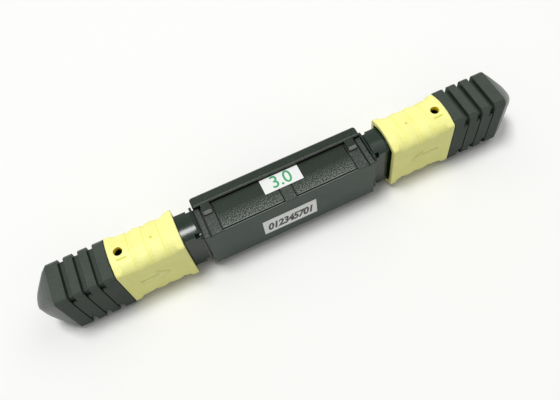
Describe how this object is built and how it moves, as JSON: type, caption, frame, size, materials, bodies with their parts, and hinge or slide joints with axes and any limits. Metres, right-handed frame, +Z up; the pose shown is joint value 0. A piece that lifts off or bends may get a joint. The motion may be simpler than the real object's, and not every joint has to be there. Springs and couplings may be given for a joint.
{
  "type": "mpo fibre attenuator",
  "caption": "In-line multi-fibre attenuator: a dark snap-together housing with a yellow-sleeved push-on plug and a grooved dust cap at each end.",
  "frame": {"origin": "middle of the part on the surface that it stands on, under the centre of its box", "axes": "+X along both plugs towards the male end, +Y towards the cover's plain back face, +Z up, out of the narrow side with the value label"},
  "size_m": [0.088, 0.0076, 0.0124],
  "materials": {
    "charcoal_housing": "moulded charcoal plastic with a fine sparked texture",
    "black_plastic": "glossy black moulded plastic",
    "yellow_plastic": "satin pale yellow moulded plastic",
    "charcoal_cap": "satin charcoal moulded plastic",
    "white_label": "matt white paper label",
    "grey_label": "matt pale grey label",
    "fibre_ribbon": "aqua coated fibre ribbon",
    "ferrule_polymer": "filled black polymer, polished end face",
    "boot_rubber": "soft black rubber",
    "clamp_polymer": "natural moulded polymer",
    "spring_steel": "bright spring steel wire",
    "pin_steel": "ground stainless steel"
  },
  "bodies": {
    "housing": {"housing_base": "charcoal_housing", "housing_cover": "charcoal_housing", "value_label": "white_label", "serial_label": "grey_label", "fibre_ribbon": "fibre_ribbon", "left_rear_body": "black_plastic", "left_plug_frame": "black_plastic", "left_ferrule_spring": "spring_steel", "left_upper_coupling_spring": "spring_steel", "left_lower_coupling_spring": "spring_steel", "right_rear_body": "black_plastic", "right_plug_frame": "black_plastic", "right_ferrule_spring": "spring_steel", "right_upper_coupling_spring": "spring_steel", "right_lower_coupling_spring": "spring_steel"},
    "left_sleeve": {"left_coupling_sleeve": "yellow_plastic"},
    "left_float": {"left_ferrule": "ferrule_polymer", "left_ferrule_boot": "boot_rubber", "left_pin_clamp": "clamp_polymer"},
    "left_cap": {"left_dust_cap": "charcoal_cap"},
    "right_sleeve": {"right_coupling_sleeve": "yellow_plastic"},
    "right_float": {"right_ferrule": "ferrule_polymer", "right_ferrule_boot": "boot_rubber", "right_pin_clamp": "clamp_polymer", "right_upper_guide_pin": "pin_steel", "right_lower_guide_pin": "pin_steel"},
    "right_cap": {"right_dust_cap": "charcoal_cap"}
  },
  "joints": [
    {"name": "left_sleeve_pull", "type": "slide", "parent": "housing", "child": "left_sleeve", "axis": [1, 0, 0], "range_m": [0, 0.0022], "stiffness_N_per_m": 400, "deforming": ["left_upper_coupling_spring", "left_lower_coupling_spring"]},
    {"name": "left_ferrule_float", "type": "slide", "parent": "housing", "child": "left_float", "axis": [1, 0, 0], "range_m": [0, 0.0012], "stiffness_N_per_m": 400, "deforming": ["left_ferrule_spring"]},
    {"name": "left_cap_pull", "type": "slide", "parent": "housing", "child": "left_cap", "axis": [-1, 0, 0], "range_m": [0, 0.012]},
    {"name": "right_sleeve_pull", "type": "slide", "parent": "housing", "child": "right_sleeve", "axis": [-1, 0, 0], "range_m": [0, 0.0022], "stiffness_N_per_m": 400, "deforming": ["right_upper_coupling_spring", "right_lower_coupling_spring"]},
    {"name": "right_ferrule_float", "type": "slide", "parent": "housing", "child": "right_float", "axis": [-1, 0, 0], "range_m": [0, 0.0012], "stiffness_N_per_m": 400, "deforming": ["right_ferrule_spring"]},
    {"name": "right_cap_pull", "type": "slide", "parent": "housing", "child": "right_cap", "axis": [1, 0, 0], "range_m": [0, 0.012]}
  ]
}
